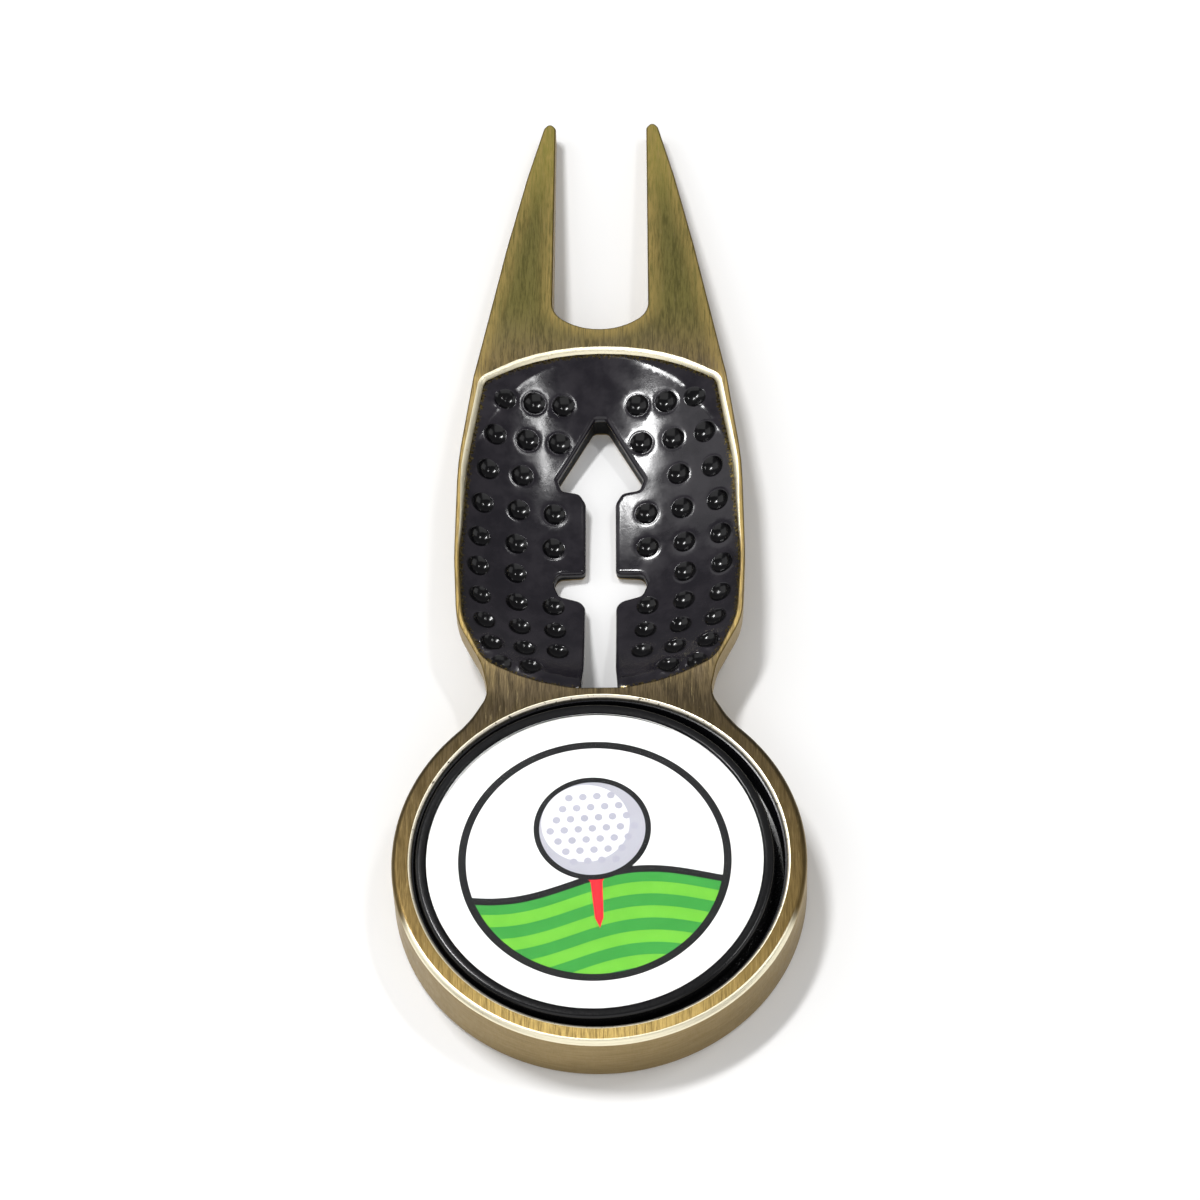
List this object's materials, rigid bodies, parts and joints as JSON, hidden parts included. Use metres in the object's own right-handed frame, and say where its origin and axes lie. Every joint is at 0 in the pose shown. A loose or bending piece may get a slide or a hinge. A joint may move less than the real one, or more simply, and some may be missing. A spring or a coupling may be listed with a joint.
{
  "type": "divot repair tool",
  "caption": "Golf divot repair tool in antique brass, with a forked end, a dished and dimpled black thumb rest with an arrow-shaped slot, and a magnetic ball marker in its ring.",
  "frame": {"origin": "centre of the tool's footprint, on the plane of its flat back", "axes": "+Z out of the face, away from the back; +Y along the tool, towards its prongs; +X to the right, seen from the face with the prongs up"},
  "size_m": [0.0288, 0.0801, 0.005],
  "materials": {
    "antique_brass": "antique plated, brushed along the length",
    "black_enamel": "gloss enamel",
    "pocket_black": "gloss enamel",
    "magnet_nickel": "nickel plated",
    "coin_black": "gloss black plating",
    "label_white": "printed",
    "clear_dome": "clear gloss"
  },
  "bodies": {
    "tool": {"tool_body": "antique_brass", "thumb_enamel": "black_enamel", "pocket_enamel": "pocket_black", "pocket_magnet": "magnet_nickel"},
    "marker": {"marker_coin": "coin_black", "marker_label": "label_white", "marker_dome": "clear_dome"}
  },
  "joints": [
    {"name": "marker_lift", "type": "slide", "parent": "tool", "child": "marker", "axis": [0, 0, 1], "range_m": [0, 0.012]}
  ]
}
